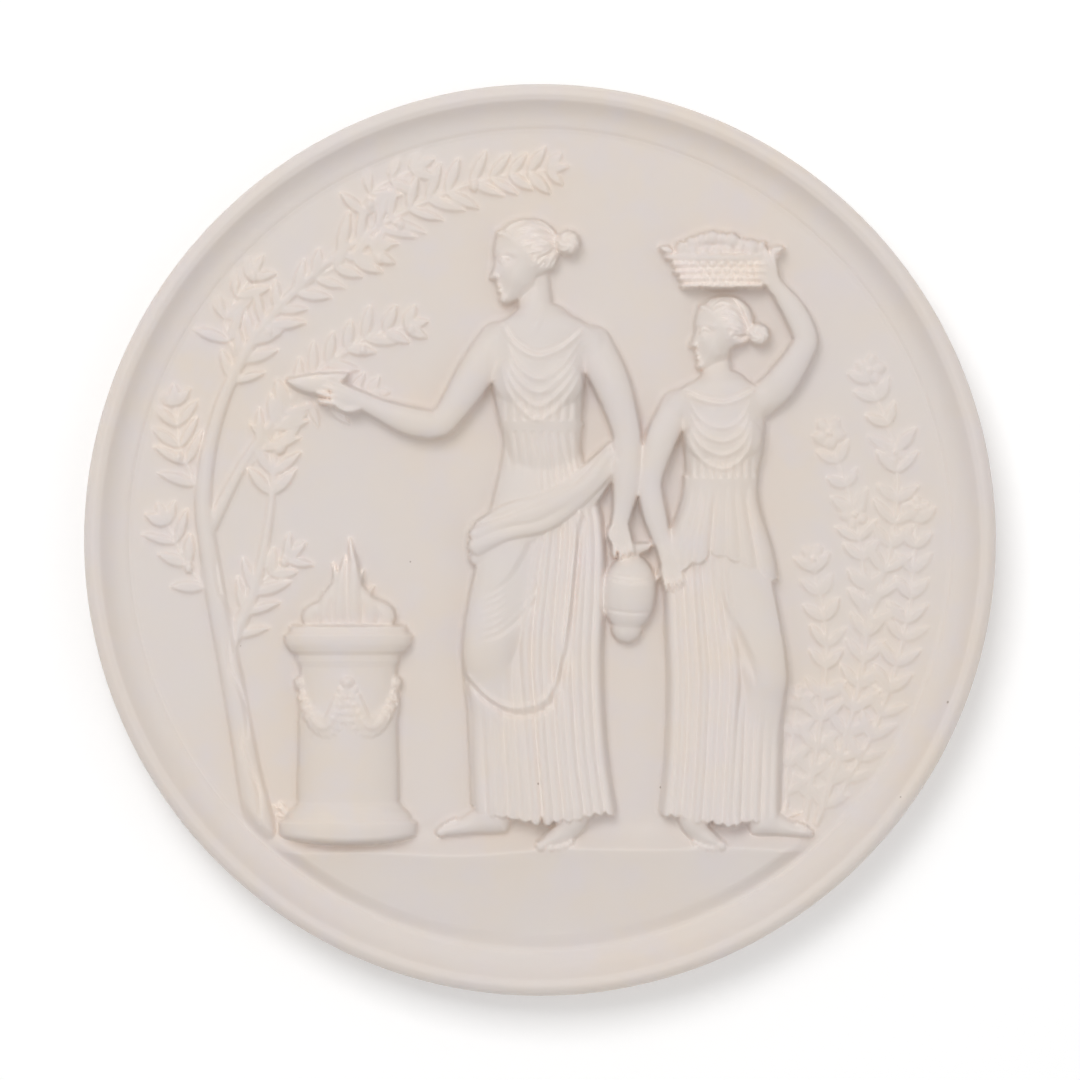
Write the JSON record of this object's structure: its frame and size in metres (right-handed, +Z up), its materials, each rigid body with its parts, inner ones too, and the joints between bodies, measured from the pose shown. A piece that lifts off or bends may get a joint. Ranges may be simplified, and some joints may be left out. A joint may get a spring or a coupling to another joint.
{
  "type": "relief wall plaque",
  "caption": "Round unglazed porcelain wall plaque with a moulded rim, a dished field carved in low relief with draped figures and foliage, and a foot ring on the back with two cord holes.",
  "frame": {"origin": "on the foot ring's flat back face, half way across the ring's width and straight above the plaque's centre, where the plaque rests against the wall", "axes": "+Z up, +Y out of the back into the wall, so the relief faces -Y"},
  "size_m": [0.145, 0.0134, 0.145],
  "materials": {
    "bisque": "unglazed bisque, matt with a faint satin sheen"
  },
  "bodies": {
    "root": {"plaque": "bisque"}
  },
  "joints": []
}
